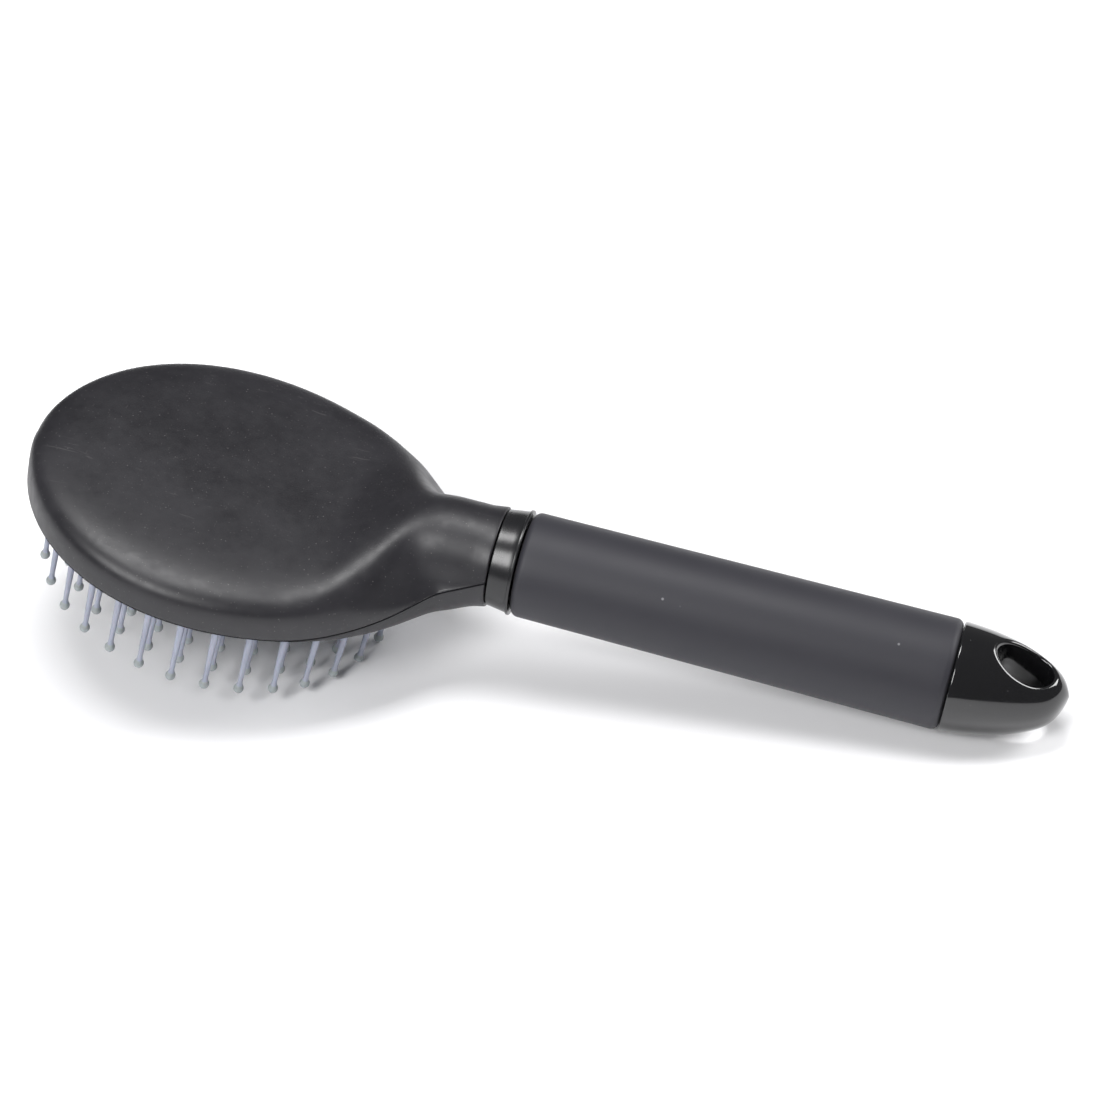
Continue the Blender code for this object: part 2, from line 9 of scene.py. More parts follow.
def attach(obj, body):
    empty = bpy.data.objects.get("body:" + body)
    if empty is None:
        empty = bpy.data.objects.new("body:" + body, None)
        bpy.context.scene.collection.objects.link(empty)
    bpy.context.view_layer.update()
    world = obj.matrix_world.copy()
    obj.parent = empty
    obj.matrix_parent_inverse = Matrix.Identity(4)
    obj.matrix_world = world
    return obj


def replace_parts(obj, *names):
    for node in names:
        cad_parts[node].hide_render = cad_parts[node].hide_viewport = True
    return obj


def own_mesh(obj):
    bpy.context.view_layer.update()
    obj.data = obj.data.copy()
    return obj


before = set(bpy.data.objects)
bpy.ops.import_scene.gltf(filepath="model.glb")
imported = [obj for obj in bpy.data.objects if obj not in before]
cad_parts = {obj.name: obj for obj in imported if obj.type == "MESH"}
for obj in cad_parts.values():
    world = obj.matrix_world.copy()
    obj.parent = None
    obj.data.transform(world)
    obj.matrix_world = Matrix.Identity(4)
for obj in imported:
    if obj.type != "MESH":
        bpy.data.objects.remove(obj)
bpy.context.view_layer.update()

# A mane and tail pin brush that lies on its pins and its end cap.
# Metres, Z up, in the frame of the CAD model.
MM = 0.001

# Places of the handle and the head, as in the CAD source
HANDLE_PLACE = Vector((-4.547, 0.0, 28.111)) * MM
HEAD_IN_HANDLE = Vector((-67.2, 0.0, -7.5)) * MM
HEAD_TILT = math.radians(4.8)
PRESS_AXIS = Vector((0.233548, 0.0, 0.972345))
HANDLE_SLOPE = math.atan2(PRESS_AXIS.x, PRESS_AXIS.z) - HEAD_TILT
HANDLE = Matrix.Translation(HANDLE_PLACE) @ Matrix.Rotation(HANDLE_SLOPE, 4, "Y")
HEAD = HANDLE @ Matrix.Translation(HEAD_IN_HANDLE) @ Matrix.Rotation(HEAD_TILT, 4, "Y")

# Handle
GRIP_LENGTH = 101.7 * MM
GRIP_FRONT_RADIUS = 12.4 * MM
GRIP_BACK_RADIUS = 13.05 * MM
GRIP_WALL = 2.1 * MM
GRIP_FRONT_ROUND = 1.8 * MM
GRIP_BACK_ROUND = 1.9 * MM
COLLAR_LENGTH = 5.9 * MM
COLLAR_SMALL_RADIUS = 11.2 * MM
COLLAR_LARGE_RADIUS = 12.1 * MM
COLLAR_LIP_RADIUS = 12.5 * MM
COLLAR_LIP_WIDTH = 0.7 * MM
COLLAR_BORE = 8.3 * MM
TANG_RADIUS = 8.0 * MM
TANG_LENGTH = 20.0 * MM

# End cap
CAP_FRONT = GRIP_LENGTH + 0.04 * MM
CAP_LENGTH = 26.78 * MM
CAP_RADIUS = 12.85 * MM
CAP_TOP_DROP = 7.24 * MM
CAP_TOP_POWER = 2.52
CAP_WIDTH_POWERS = (1.5, 0.434)
CAP_LOW_POWERS = (1.65, 0.5)
CAP_TIP_POWER = 24
CAP_EDGE_ROUND = 0.45 * MM
HOLE_LENGTH = 13.6 * MM
HOLE_WIDTH = 10.3 * MM
HOLE_CENTRE = 15.5 * MM
HOLE_FILLET = 1.35 * MM
CAP_OUTLINE_POINTS = 90
CAP_FRONT_POINTS = 22
CAP_STEPS = 30
FILLET_STEPS = 9
CAP_EDGE_STEPS = 7
CAP_SHARP = 55.0
WELD_REACH = 0.002 * MM

# Head, in its own frame: origin at the middle of the rim, X towards the neck, Z out of the back
HEAD_HALF_LENGTH = 52.4 * MM
HEAD_HALF_WIDTH = 40.0 * MM
HEAD_EGG = 0.11
HEAD_OUTLINE_POWER = 1.1
HEAD_CROWN = 10.8 * MM
HEAD_SQUARENESS = 5.2
SEAM_RISE_START = 18 * MM
SEAM_RISE_LENGTH = 43.2 * MM
SEAM_RISE_POWER = 1.8
SEAM_OVER_AXIS = 3.0 * MM
DOME_NECK_POWER = 2.4
FLARE_HEIGHT = 2.5 * MM
TURN_AT_RIDGE = 37.5 * MM
TURN_AT_RIM = 49.0 * MM
TURN_HALF_LENGTH = 8.5 * MM
SHELL_WALL = 1.5 * MM
FRAME_DEPTH = 2.4 * MM
FRAME_FACE_CUT = 0.15 * MM
NECK_BLEND = 7.0
GAP = 0.3 * MM
NECK_ROUND = 0.35 * MM
RIM_ROUND = 0.22 * MM
BACK_POINTS = 150
FRAME_POINTS = 70
OPENING_POINTS = 200
OPENING_ROUND = 0.7 * MM
CUTTER_HEIGHT = 24 * MM

# Pad and pins
PAD_CENTRE_X = -3.7 * MM
PAD_HALF_LENGTH = 45.8 * MM
PAD_HALF_WIDTH = 36.3 * MM
PAD_FLANGE_OVERLAP = 0.8 * MM
PAD_FLANGE_THICKNESS = 1.3 * MM
PAD_THICKNESS = 1.4 * MM
PAD_EDGE_DROP = 1.4 * MM
PAD_BULGE = 1.8 * MM
PAD_EGG = 0.02
PAD_OUTLINE_POWER = 1.02
PIN_RINGS = [
    (42.7 * MM, 33.9 * MM, 30, "abcdefgh"),
    (37.2 * MM, 28.4 * MM, 26, "abcdefg"),
    (31.4 * MM, 22.4 * MM, 22, "abcdef"),
    (25.2 * MM, 16.6 * MM, 16, "abcd"),
    (18.8 * MM, 10.9 * MM, 12, "abc"),
    (12.0 * MM, 5.3 * MM, 8, "ab"),
]
PIN_CENTRE_X = -2.8 * MM
PIN_TIP_Z = -22.6 * MM
PIN_BASE_RADIUS = 0.95 * MM
PIN_WAIST_RADIUS = 0.6 * MM
PIN_BALL_RADIUS = 1.2 * MM
PIN_LEAN = 0.5 * MM
PIN_NECK_LEAN = 1.4 * MM
PIN_SPLAY = 2.7 * MM
PIN_SIDES = 16
PIN_HEAD_LENGTH = 1.3 * MM
PAD_POINTS = 220
# Section of the ring that a pin comes out of, as (radius, height over the pad) in millimetres
BOSS_PROFILE = [
    (0.85, 0.5), (2.0, 0.5), (2.0, 0.05), (1.85, -0.22),
    (1.55, -0.5), (1.3, -0.72), (1.1, -0.78), (0.85, -0.7),
]


def smoothstep(start, end, value):
    t = min(1.0, max(0.0, (value - start) / (end - start)))
    return t * t * (3 - 2 * t)


def smootherstep(start, end, value):
    t = min(1.0, max(0.0, (value - start) / (end - start)))
    return t ** 3 * (10 + t * (6 * t - 15))


def mix(a, b, t):
    return a + (b - a) * t


# ---------------------------------------------------------------- camera, light and floor

CAMERA = Matrix((
    (0.9660659, -0.1409181, 0.2164688, 0.1763321),
    (0.2546729, 0.6595345, -0.7072171, -0.5691734),
    (-0.0431089, 0.7383471, 0.6730418, 0.5751993),
    (0.0, 0.0, 0.0, 1.0),
))
LENS = 114.545
SENSOR = 36.0
FLOOR_REACH = 4.0
FLOOR_CELLS = 8


def place_camera():
    lens = bpy.data.cameras.new("camera")
    lens.lens = LENS
    lens.sensor_width = SENSOR
    lens.clip_start = 0.01
    lens.clip_end = 20.0
    made = bpy.data.objects.new("camera", lens)
    made.matrix_world = CAMERA
    bpy.context.scene.collection.objects.link(made)
    bpy.context.scene.camera = made


def softbox(name, place, width, height, power):
    """A rectangular lamp that looks at the origin."""
    lamp = bpy.data.lights.new(name, "AREA")
    lamp.shape = "RECTANGLE"
    lamp.size = width
    lamp.size_y = height
    lamp.energy = power
    made = bpy.data.objects.new(name, lamp)
    made.location = place
    made.rotation_euler = (-place).to_track_quat("-Z", "Y").to_euler()
    bpy.context.scene.collection.objects.link(made)


# ---------------------------------------------------------------- mesh helpers

class Skin:
    """Points and faces of one mesh."""

    def __init__(self):
        self.points = []
        self.faces = []
        self.looks = []

    def loop(self, points):
        start = len(self.points)
        self.points += [tuple(p) for p in points]
        return list(range(start, len(self.points)))

    def face(self, *corners, look=0):
        self.faces.append(corners)
        self.looks.append(look)

    def bridge(self, near, far, closed=True, look=0):
        count = len(near)
        for i in range(count if closed else count - 1):
            j = (i + 1) % count
            self.face(near[i], near[j], far[j], far[i], look=look)

    def cap(self, ring, look=0, flip=False):
        self.face(*(reversed(ring) if flip else ring), look=look)

    def build(self, name, place, looks, body, slot, sharp=40.0):
        mesh = bpy.data.meshes.new(name)
        mesh.from_pydata(self.points, [], self.faces)
        mesh.polygons.foreach_set("material_index", self.looks)
        mesh.transform(place)
        # Nothing stays under z = 0, in whichever frame the piece is built
        for vertex in mesh.vertices:
            vertex.co.z = max(vertex.co.z, 0.0)
        for look in looks:
            mesh.materials.append(look)
        mesh.validate()
        return self.finish(name, mesh, body, slot, sharp)

    @staticmethod
    def finish(name, mesh, body, slot, sharp):
        made = bpy.data.objects.new(name, mesh)
        bpy.context.scene.collection.objects.link(made)
        outward(mesh)
        mesh.shade_smooth()
        mesh.set_sharp_from_angle(angle=math.radians(sharp))
        if body:
            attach(made, body)
        return made


def outward(mesh):
    """Faces look outward all over."""
    bm = bmesh.new()
    bm.from_mesh(mesh)
    bmesh.ops.recalc_face_normals(bm, faces=bm.faces)
    bm.to_mesh(mesh)
    bm.free()


def turned(name, profile, looks, slot, steps=160):
    """A ring turned about the handle axis from a closed profile of (radius, x)."""
    skin = Skin()
    turns = [2 * math.pi * i / steps for i in range(steps)]
    loops = [skin.loop([(x, r * math.cos(a), r * math.sin(a)) for a in turns]) for r, x in profile]
    for i, near in enumerate(loops):
        skin.bridge(near, loops[(i + 1) % len(loops)])
    return skin.build(name, HANDLE, looks, "brush", slot)


def corner(r, x, radius, start, end, steps=8):
    """Points of a rounded corner: the arc about (r, x) from one angle to another, 0 being straight out."""
    angles = np.radians(np.linspace(start, end, steps))
    return [(r + radius * math.cos(a), x + radius * math.sin(a)) for a in angles]


def resample(points, count, turning=0.0):
    """The same line with count points: evenly spaced, or with turning, closer together where it bends."""
    points = np.array(points)
    steps = np.diff(points, axis=0)
    span = np.linalg.norm(steps, axis=1)
    pace = span / span.sum()
    if turning:
        heading = np.unwrap(np.arctan2(steps[:, 1], steps[:, 0]))
        bend = np.abs(np.gradient(heading))
        pace = pace + turning * bend / bend.sum()
    along = np.concatenate([[0.0], np.cumsum(pace)])
    at = np.linspace(0.0, along[-1], count)
    return np.stack([np.interp(at, along, points[:, k]) for k in range(points.shape[1])], axis=1)


# ---------------------------------------------------------------- head

GRIP_IN_HEAD = Matrix.Rotation(-HEAD_TILT, 3, "Y") @ -HEAD_IN_HANDLE
AXIS_RISE = math.tan(HEAD_TILT)
NECK_END_X = GRIP_IN_HEAD.x - (COLLAR_LENGTH + GAP) * math.cos(HEAD_TILT)


def axis_height(x):
    """Height of the handle axis over the rim plane."""
    return GRIP_IN_HEAD.z + (x - GRIP_IN_HEAD.x) * AXIS_RISE


def blend(a, b):
    """Smooth union of two radii."""
    return (a ** NECK_BLEND + b ** NECK_BLEND) ** (1 / NECK_BLEND)


def egg(x, inset):
    """Half width of the egg-shaped outline at x."""
    along = x / (HEAD_HALF_LENGTH - inset)
    if abs(along) >= 1:
        return 0.0
    across = math.sqrt(1 - along * along) ** HEAD_OUTLINE_POWER
    return (HEAD_HALF_WIDTH - inset) * across * (1 - HEAD_EGG * along)


def seam_height(x):
    """The parting line runs along the rim, then climbs the side of the neck past the handle axis."""
    along = max(x - SEAM_RISE_START, 0.0) / SEAM_RISE_LENGTH
    return (axis_height(x) + SEAM_OVER_AXIS) * along ** SEAM_RISE_POWER


def neck_radius(x):
    return mix(15.0 * MM, 11.2 * MM, smoothstep(10 * MM, 42 * MM, x))


def back_top(x):
    """Height of the back along its middle: a level crown, then the ridge of the neck rising to the collar."""
    if x < 0:
        along = min(-x / HEAD_HALF_LENGTH, 1.0)
        return HEAD_CROWN * (1 - along ** HEAD_SQUARENESS) ** (1 / HEAD_SQUARENESS)
    ridge = mix(4.0 * MM, axis_height(x) + COLLAR_SMALL_RADIUS, smoothstep(2 * MM, 49 * MM, x))
    return blend(HEAD_CROWN * (1 - smoothstep(20 * MM, 50 * MM, x)), ridge)


def rim_width(x, inset):
    """Half width at the parting line: the egg outline flares into the neck."""
    wide = egg(x, inset)
    if x < 20 * MM:
        return wide
    return blend(wide, mix(16.5 * MM, 12.1 * MM, smoothstep(34 * MM, 60 * MM, x)) - inset)


def under_bottom(x):
    return mix(-FRAME_DEPTH, axis_height(x) - 12.1 * MM, smoothstep(50 * MM, 60 * MM, x))


def back_width(x, share, inset, top):
    """Half width of the back shell at a share of its height: the head's dome turns into the round neck,
    first at the top and last at the parting line, where it flares out to the rim."""
    rim = rim_width(x, inset)
    power = mix(HEAD_SQUARENESS, DOME_NECK_POWER, smoothstep(18 * MM, 34 * MM, x))
    dome = rim * (1 - share ** power) ** (1 / power)
    radius = neck_radius(x) - inset
    spring = max(top - radius, 0.0)
    over = max(share * top - spring, 0.0) / (top - spring)
    neck = radius * math.sqrt(max(1 - over * over, 0.0))
    turn = mix(TURN_AT_RIDGE, TURN_AT_RIM, (1 - share) ** 2.5)
    to_neck = smootherstep(turn - TURN_HALF_LENGTH, turn + TURN_HALF_LENGTH, x)
    flare = (rim - radius) * to_neck * (1 - share) * math.exp(-share * top / FLARE_HEIGHT)
    return mix(dome, neck, to_neck) + flare


def upper_line(x, inset):
    """Half section of the back shell as (y, height over the parting line), from +Y to -Y."""
    top = back_top(x) - inset - seam_height(x)
    shares = list(np.linspace(0.0, 0.9, 150))
    shares += [1 - 0.1 * (1 - t) ** 4 for t in np.linspace(0.0, 1.0, 60)[1:]]
    half = [(back_width(x, share, inset, top), share * top) for share in shares]
    return half + [(-y, z) for y, z in reversed(half[:-1])]


def lower_line(x, inset):
    """Half section of the front frame as (y, depth under the parting line), from +Y to -Y."""
    power = mix(4.0, 2.1, smoothstep(36 * MM, 58 * MM, x))
    width, depth = rim_width(x, inset), seam_height(x) - under_bottom(x) - inset
    turns = np.linspace(0.0, math.pi / 2, 90)
    half = [(width * math.cos(t) ** (2 / power), depth * math.sin(t) ** (2 / power)) for t in turns]
    return half + [(-y, z) for y, z in reversed(half[:-1])]


def half_section(x, line, side, inset, count, rounding):
    """Half section over (side 1) or under (side -1) the parting line, from +Y round to -Y."""
    base = seam_height(x) + side * GAP / 2
    points = resample(line(x, inset), count, 1.0)
    points[:, 1] = np.maximum(points[:, 1], rounding)
    width = points[0][0]
    for share in (0.35, 1.0):
        side_in = width - rounding * (1 - math.cos(math.pi / 2 * share))
        up = rounding * (1 - math.sin(math.pi / 2 * share))
        points = np.concatenate([[(side_in, up)], points, [(-side_in, up)]])
    ring = []
    for y, up in points:
        z = base + side * up
        lean = AXIS_RISE * smoothstep(30 * MM, NECK_END_X, x) * (z - axis_height(x))
        ring.append((x - lean, y, z))
    return ring


def head_stations(inset):
    """Places along the head and neck, close together at the tip."""
    angles = [0.012, 0.03, 0.05, 0.075, 0.1, 0.125] + list(np.linspace(0.155, math.pi / 2, 52))
    front = [-(HEAD_HALF_LENGTH - inset) * math.cos(t) for t in angles]
    return front + list(np.linspace(0.9 * MM, NECK_END_X - 0.4 * MM, 76))


def half_rings(line, side, count, inset, rounding):
    """Half sections all along; the outer skin ends in a rounded edge at the collar."""
    rings = [half_section(x, line, side, inset, count, rounding) for x in head_stations(inset)]
    for share in (0.3, 0.65, 1.0):
        x = NECK_END_X - NECK_ROUND * (1 - math.sin(math.pi / 2 * share))
        drawn_in = NECK_ROUND * (1 - math.cos(math.pi / 2 * share)) if rounding else 0.0
        rings.append(half_section(x, line, side, inset + drawn_in, count, rounding))
    return rings


def back_shell(look):
    """The domed back and the top of the neck, a thin shell with a rounded edge at the parting line."""
    skin = Skin()
    outer = [skin.loop(ring) for ring in half_rings(upper_line, 1, BACK_POINTS, 0.0, RIM_ROUND)]
    inner = [skin.loop(ring) for ring in half_rings(upper_line, 1, BACK_POINTS, SHELL_WALL, 0.0)]
    for skins in (outer, inner):
        for near, far in zip(skins, skins[1:]):
            skin.bridge(near, far, closed=False)
        tip = skins[0]
        last = len(tip) - 1
        for i in range(last // 2):
            if last - i - 1 > i + 1:
                skin.face(tip[i], tip[i + 1], tip[last - i - 1], tip[last - i])
            else:
                skin.face(tip[i], tip[i + 1], tip[last - i])
    for end in (0, -1):
        left = [ring[end] for ring in outer]
        right = [ring[end] for ring in inner]
        skin.bridge(left, right, closed=False)
    skin.face(outer[0][0], outer[0][-1], inner[0][-1], inner[0][0])
    skin.bridge(outer[-1], inner[-1], closed=False)
    made = skin.build("head_back", HEAD, [look], "brush", "head_plastic")
    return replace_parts(made, "back_shell")


def cutter(name, loops):
    skin = Skin()
    rings = [skin.loop(ring) for ring in loops]
    for near, far in zip(rings, rings[1:]):
        skin.bridge(near, far)
    skin.cap(rings[0], flip=True)
    skin.cap(rings[-1])
    return skin.build(name, Matrix.Identity(4), [], None, None)


def cut(target, *tools):
    for tool in tools:
        step = target.modifiers.new(tool.name, "BOOLEAN")
        step.operation = "DIFFERENCE"
        step.solver = "EXACT"
        step.object = tool
    graph = bpy.context.evaluated_depsgraph_get()
    mesh = bpy.data.meshes.new_from_object(target.evaluated_get(graph))
    target.modifiers.clear()
    for tool in tools:
        bpy.data.objects.remove(tool, do_unlink=True)
    return mesh


def pad_outline(half_length, half_width, count, centre=PAD_CENTRE_X, phase=0.0):
    """Points on an oval, evenly spaced along it, starting a phase of a step from the axis at the neck."""
    fine = np.linspace(0, 2 * math.pi, 721)
    across = np.sign(np.sin(fine)) * np.abs(np.sin(fine)) ** PAD_OUTLINE_POWER
    x = centre + half_length * np.cos(fine)
    y = half_width * across * (1 - PAD_EGG * np.cos(fine))
    length = np.concatenate([[0], np.cumsum(np.hypot(np.diff(x), np.diff(y)))])
    at = length[-1] / count * (np.arange(count) + phase)
    return [(float(np.interp(s, length, x)), float(np.interp(s, length, y))) for s in at]


def oval_rings(levels, count):
    """Rings of the pad outline, grown by an amount at each height."""
    rings = []
    for grow, z in levels:
        outline = pad_outline(PAD_HALF_LENGTH + grow, PAD_HALF_WIDTH + grow, count)
        rings.append([(x, y, z) for x, y in outline])
    return rings


def front_frame(look):
    """The lower half of the head: a rim round the pad and the underside of the neck."""
    skin = Skin()
    rings = [skin.loop(ring) for ring in half_rings(lower_line, -1, FRAME_POINTS, 0.0, RIM_ROUND)]
    for near, far in zip(rings, rings[1:]):
        skin.bridge(near, far)
    skin.cap(rings[0], flip=True)
    skin.cap(rings[-1])
    solid = skin.build("frame_solid", Matrix.Identity(4), [], None, None)
    face_z = -FRAME_DEPTH + FRAME_FACE_CUT
    levels = [(1.6 * MM, face_z - 1.0 * MM)]
    for share in np.linspace(0.0, 1.0, 6):
        turn = share * math.pi / 2
        levels.append((OPENING_ROUND * (1 - math.sin(turn)), face_z + OPENING_ROUND * (1 - math.cos(turn))))
    opening = cutter("pad_opening", oval_rings(levels + [(0.0, CUTTER_HEIGHT)], OPENING_POINTS))
    grow = PAD_FLANGE_OVERLAP + GAP
    seat = cutter("flange_seat", oval_rings([(grow, -GAP / 2), (grow, CUTTER_HEIGHT)], OPENING_POINTS))
    bore = TANG_RADIUS + 2 * GAP
    to_head = HEAD.inverted() @ HANDLE
    socket_rings = []
    for x in (2 * MM, -TANG_LENGTH - 2 * MM):
        angles = np.linspace(0, 2 * math.pi, 64, endpoint=False)
        socket_rings.append([to_head @ Vector((x, bore * math.cos(a), bore * math.sin(a))) for a in angles])
    socket = cutter("tang_socket", socket_rings)
    wide = 2 * HEAD_HALF_LENGTH
    square = [(-wide, -wide), (wide, -wide), (wide, wide), (-wide, wide)]
    plane = cutter("front_plane", [[(x, y, z) for x, y in square] for z in (face_z - 30 * MM, face_z)])
    mesh = cut(solid, opening, seat, socket, plane)
    bpy.data.objects.remove(solid, do_unlink=True)
    mesh.transform(HEAD)
    mesh.materials.clear()
    mesh.materials.append(look)
    made = Skin.finish("head_front", mesh, "brush", "head_plastic", 32.0)
    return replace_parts(made, "front_frame")


# ---------------------------------------------------------------- pad and pins

def pad_under(x, y):
    """Height of the outer face of the pad: a low dome."""
    rho = math.hypot((x - PAD_CENTRE_X) / PAD_HALF_LENGTH, y / PAD_HALF_WIDTH)
    return -PAD_EDGE_DROP - PAD_BULGE * (1 - min(rho, 1.0) ** 2)


def cushion_pad(look):
    """The air cushion: a crowned rubber sheet with a rolled edge, and a flange behind the frame."""
    flange_top = GAP / 2 + PAD_FLANGE_THICKNESS
    inner = GAP + 0.1 * MM
    skin = Skin()
    outside = [(PAD_FLANGE_OVERLAP - 0.25 * MM, flange_top), (PAD_FLANGE_OVERLAP, flange_top - 0.25 * MM)]
    outside += [(PAD_FLANGE_OVERLAP, GAP / 2 + 0.15 * MM), (PAD_FLANGE_OVERLAP - 0.15 * MM, GAP / 2)]
    outside += [(-inner, GAP / 2), (-inner, -0.9 * MM)]
    rings = oval_rings(outside, PAD_POINTS)
    bead = 0.9 * MM
    for share in np.linspace(0.2, 1.0, 5):
        inset = inner + bead * (1 - math.cos(share * math.pi))
        z = -0.9 * MM - bead * math.sin(share * math.pi)
        rings += oval_rings([(-inset, z)], PAD_POINTS)
    for share in [0.935, 0.925, 0.91] + list(np.linspace(0.88, 0.04, 22)):
        rings.append(pad_ring(share, 0.0, PAD_POINTS))
    loops = [skin.loop(ring) for ring in rings]
    over = [0.04] + list(np.linspace(0.1, 0.97, 16))
    top = [skin.loop(pad_ring(share, PAD_THICKNESS, PAD_POINTS)) for share in over]
    for near, far in zip(loops, loops[1:]):
        skin.bridge(near, far)
    for near, far in zip(top, top[1:]):
        skin.bridge(near, far)
    skin.cap(loops[-1])
    skin.cap(top[0], flip=True)
    skin.bridge(top[-1], loops[0])
    made = skin.build("air_cushion_pad", HEAD, [look], "brush", "pad_rubber", sharp=60.0)
    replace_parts(made, "cushion_pad")
    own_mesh(made)
    return made


def pad_ring(share, lift, count):
    """Ring of the pad at a share of its size, lifted off its outer face."""
    outline = pad_outline(PAD_HALF_LENGTH * share, PAD_HALF_WIDTH * share, count)
    return [(x, y, pad_under(x, y) + lift) for x, y in outline]


def pin_lean(x, y):
    """How far a tip lies from its base: forward everywhere, more by the neck, and outward."""
    forward = -PIN_LEAN - PIN_NECK_LEAN * smoothstep(18 * MM, 40 * MM, x)
    return forward, PIN_SPLAY * y / PAD_HALF_WIDTH


def pin_profile(top):
    """(radius, height, look) down one pin: flat head behind the pad, tapering shaft, waist, ball."""
    base = top - 1.4 * MM
    centre = PIN_TIP_Z + PIN_BALL_RADIUS
    meet = centre + 1.02 * MM
    stops = [(1.3 * MM, top, 0), (1.5 * MM, top - 0.2 * MM, 0), (1.5 * MM, top - 0.8 * MM, 0)]
    stops += [(1.25 * MM, top - 1.05 * MM, 0), (PIN_BASE_RADIUS, base, 0)]
    for share in np.linspace(0.12, 1.0, 8):
        taper = mix(PIN_BASE_RADIUS, PIN_WAIST_RADIUS, share ** 1.25)
        stops.append((taper, mix(base, meet + 1.5 * MM, share), 0))
    stops += [(0.62 * MM, meet + 0.9 * MM, 0), (0.68 * MM, meet + 0.45 * MM, 0)]
    stops.append((0.78 * MM, meet + 0.12 * MM, 0))
    for degrees in (46, 34, 20, 5, -12, -28, -44, -60, -75):
        turn = math.radians(degrees)
        stops.append((PIN_BALL_RADIUS * math.cos(turn), centre + PIN_BALL_RADIUS * math.sin(turn), 1))
    return stops


def pins(looks):
    """One mesh of separate pins for each oval ring."""
    for ring, (half_length, half_width, count, letters) in enumerate(PIN_RINGS):
        skin = Skin()
        for x, y in pad_outline(half_length, half_width, count, PIN_CENTRE_X, 0.5):
            top = pad_under(x, y) + PAD_THICKNESS + GAP + PIN_HEAD_LENGTH
            dx, dy = pin_lean(x, y)
            loops = []
            for radius, z, look in pin_profile(top):
                t = (top - z) / (top - PIN_TIP_Z)
                turns = [2 * math.pi * i / PIN_SIDES for i in range(PIN_SIDES)]
                circle = [
                    (x + dx * t + radius * math.cos(a), y + dy * t + radius * math.sin(a), z) for a in turns
                ]
                loops.append((skin.loop(circle), look))
            for (near, _), (far, look) in zip(loops, loops[1:]):
                skin.bridge(near, far, look=look)
            skin.cap(loops[0][0])
            skin.cap(loops[-1][0], look=1, flip=True)
        made = skin.build(f"pins_ring_{ring + 1}", HEAD, looks, "pin_field", "pin_plastic", sharp=50.0)
        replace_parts(made, *[f"pin_strip_{ring + 1}{letter}" for letter in letters])


def pin_bosses(look):
    """Low moulded rings on the pad where each pin comes out."""
    skin = Skin()
    for half_length, half_width, count, _ in PIN_RINGS:
        for x, y in pad_outline(half_length, half_width, count, PIN_CENTRE_X, 0.5):
            level = pad_under(x, y)
            loops = []
            for radius, z in BOSS_PROFILE:
                turns = [2 * math.pi * i / PIN_SIDES for i in range(PIN_SIDES)]
                loops.append(skin.loop([
                    (x + radius * MM * math.cos(a), y + radius * MM * math.sin(a), level + z * MM)
                    for a in turns
                ]))
            for i, near in enumerate(loops):
                skin.bridge(near, loops[(i + 1) % len(loops)])
    return skin.build("pad_pin_bosses", HEAD, [look], "pin_field", "pad_rubber", sharp=50.0)


# ---------------------------------------------------------------- handle

def collar(look):
    """Tapered ring between the neck and the grip, with a lip at the grip."""
    front = -COLLAR_LENGTH
    back = -GAP
    lip = back - COLLAR_LIP_WIDTH
    edge = 0.2 * MM
    profile = [(COLLAR_BORE, front), (COLLAR_BORE, back)]
    profile += corner(COLLAR_LIP_RADIUS - edge, back - edge, edge, 90, 0, 6)
    profile += corner(COLLAR_LIP_RADIUS - edge, lip + edge, edge, 0, -80, 6)
    profile += [(COLLAR_LARGE_RADIUS + 0.06 * MM, lip + 0.02 * MM), (COLLAR_LARGE_RADIUS, lip - 0.1 * MM)]
    for t in (0.25, 0.5, 0.75):
        radius = mix(COLLAR_LARGE_RADIUS, COLLAR_SMALL_RADIUS + edge, t)
        profile.append((radius, mix(lip - 0.1 * MM, front + edge, t)))
    profile += corner(COLLAR_SMALL_RADIUS, front + edge, edge, 5, -90, 6)
    made = turned("neck_collar", profile, [look], "gloss_plastic")
    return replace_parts(made, "collar")


def grip(look):
    """Soft sleeve, rounded at both ends."""
    bore = GRIP_FRONT_RADIUS - GRIP_WALL
    profile = [(bore, GRIP_LENGTH), (bore, 0.0)]
    profile += corner(GRIP_FRONT_RADIUS - GRIP_FRONT_ROUND, GRIP_FRONT_ROUND, GRIP_FRONT_ROUND, -90, 0, 12)
    for t in np.linspace(0.0, 1.0, 40)[1:-1]:
        profile.append((mix(GRIP_FRONT_RADIUS, GRIP_BACK_RADIUS, t),
                        mix(GRIP_FRONT_ROUND, GRIP_LENGTH - GRIP_BACK_ROUND, t)))
    back = GRIP_LENGTH - GRIP_BACK_ROUND
    profile += corner(GRIP_BACK_RADIUS - GRIP_BACK_ROUND, back, GRIP_BACK_ROUND, 0, 90, 10)
    made = turned("grip_rubber_sleeve", profile, [look], "grip_rubber", steps=200)
    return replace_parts(made, "grip_sleeve")


def cap_form(u):
    """Half width, middle height and half height of the cap's oval section at u along it."""
    share = min(u / CAP_LENGTH, 0.99999)
    along, around = CAP_WIDTH_POWERS
    half_width = CAP_RADIUS * (1 - share ** along) ** around
    top = CAP_RADIUS - CAP_TOP_DROP * share ** CAP_TOP_POWER
    along, around = CAP_LOW_POWERS
    low = -CAP_RADIUS * (1 - share ** along) ** around
    drawn_in = round_drop(u, CAP_EDGE_ROUND)
    return half_width - drawn_in, (top + low) / 2, (top - low) / 2 - drawn_in


